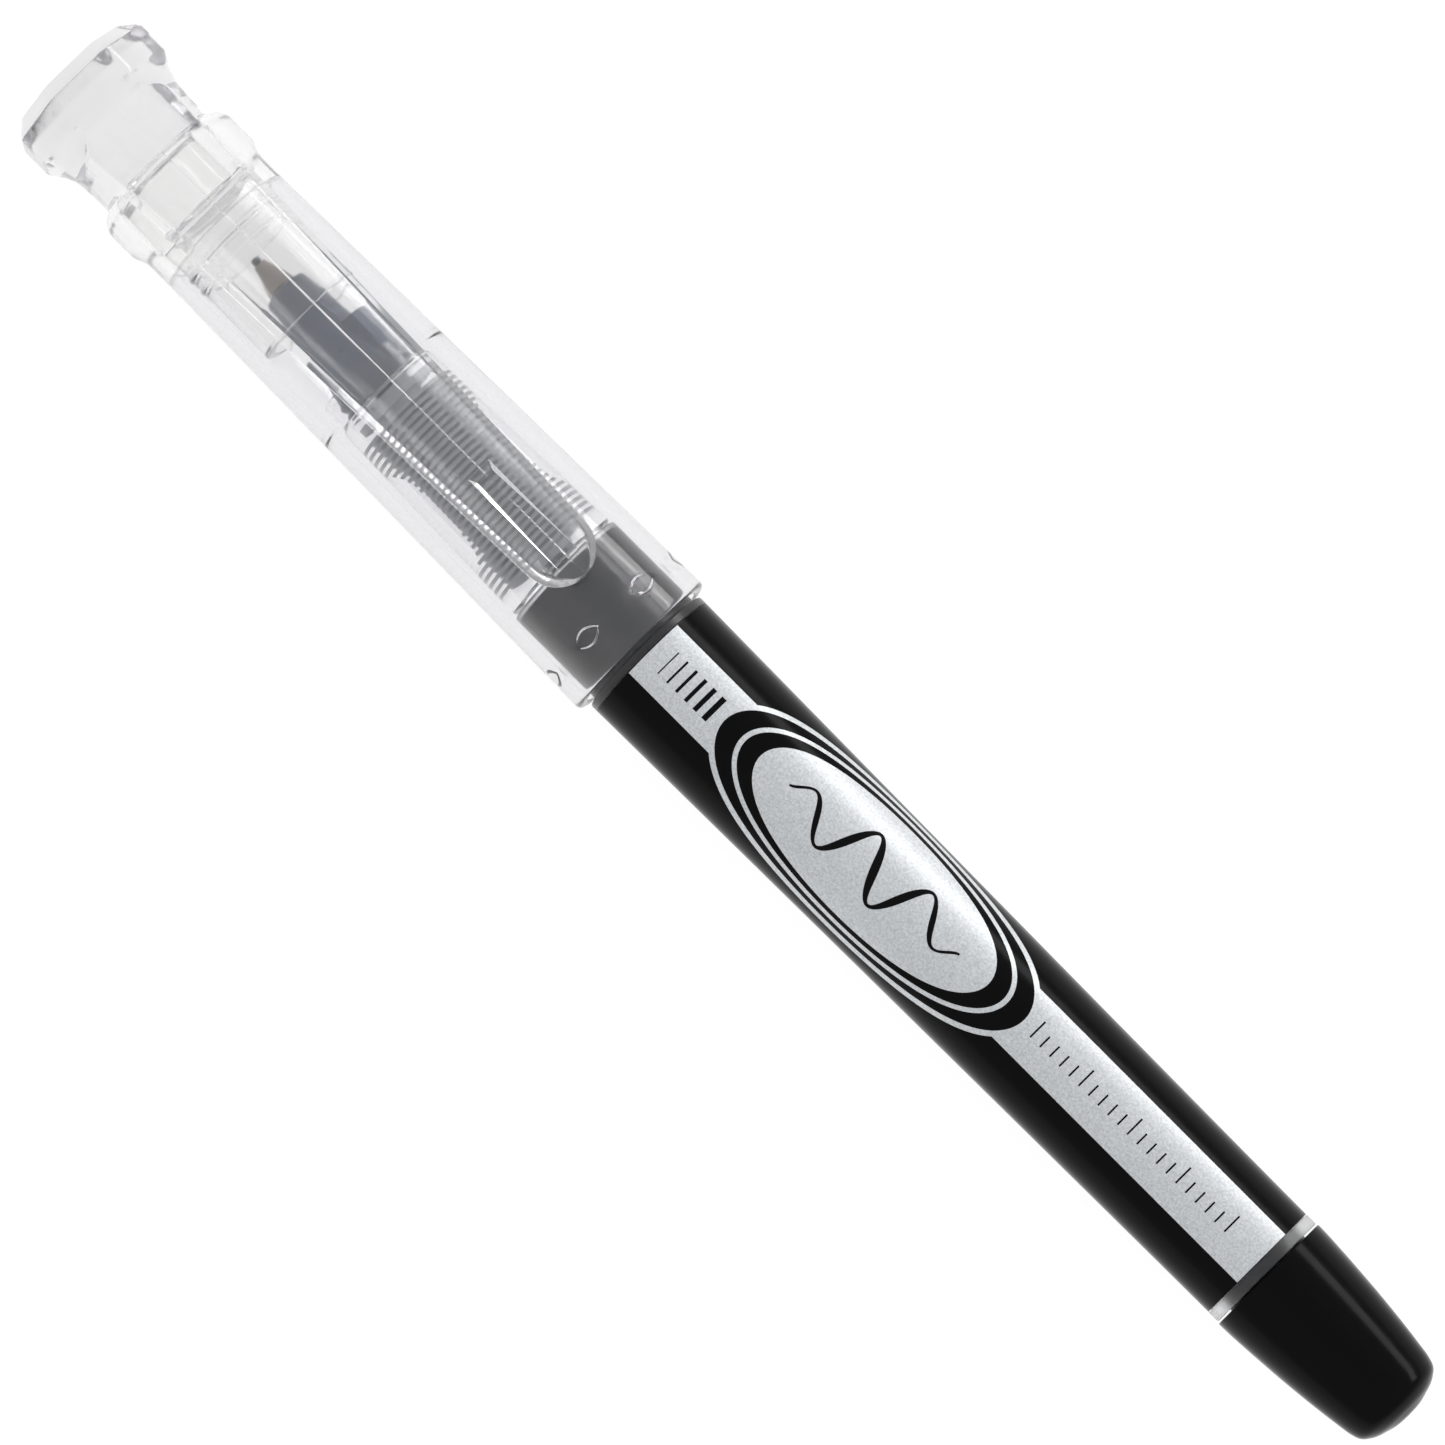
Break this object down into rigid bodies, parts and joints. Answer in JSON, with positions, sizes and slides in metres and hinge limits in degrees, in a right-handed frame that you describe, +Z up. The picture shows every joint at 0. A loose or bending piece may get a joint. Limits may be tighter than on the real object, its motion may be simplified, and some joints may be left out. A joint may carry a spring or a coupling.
{
  "type": "technical pen",
  "caption": "Capped fine-point liquid-ink drawing pen with a clear pull-off cap and sprung clip, visible finned collector, black labelled barrel and tapered end plug.",
  "frame": {"origin": "below the middle of the capped pen's length, at the level of the lowest point of the cap's mouth", "axes": "+X along the pen from the crown to the end plug, +Z up out of the clip, +Y across"},
  "size_m": [0.14, 0.013, 0.015],
  "materials": {
    "cap_clear": "clear moulded plastic, polished",
    "inner_cap_clear": "clear moulded plastic, slightly cloudy",
    "section_clear": "clear moulded plastic",
    "barrel_clear": "clear moulded plastic",
    "nose_dark": "dark slate, semi-gloss",
    "point_dark": "matt, inked",
    "sleeve_beige": "beige, satin",
    "feed_fibre": "bonded fibre",
    "collector_grey": "grey moulded plastic",
    "ink_black": "liquid black ink",
    "label_print": "black film printed in matt silver",
    "plug_black": "black, polished"
  },
  "bodies": {
    "barrel": {"barrel_tube": "barrel_clear", "label_sleeve": "label_print", "ink_charge": "ink_black", "end_plug": "plug_black", "section_tube": "section_clear", "collector": "collector_grey", "feed_rod": "feed_fibre", "nose_cone": "nose_dark", "tip_sleeve": "sleeve_beige", "writing_point": "point_dark"},
    "cap": {"cap_tube": "cap_clear", "crown": "cap_clear", "inner_cap": "inner_cap_clear"},
    "clip": {"clip": "cap_clear"}
  },
  "joints": [
    {"name": "cap_slide", "type": "slide", "parent": "barrel", "child": "cap", "axis": [-1, 0, 0], "range_m": [0, 0.05]},
    {"name": "clip_flex", "type": "hinge", "parent": "cap", "child": "clip", "pos_m": [-0.0561, 0, 0.01355], "axis": [0, -1, 0], "range_deg": [0, 4], "stiffness_Nm_per_rad": 1.2}
  ]
}
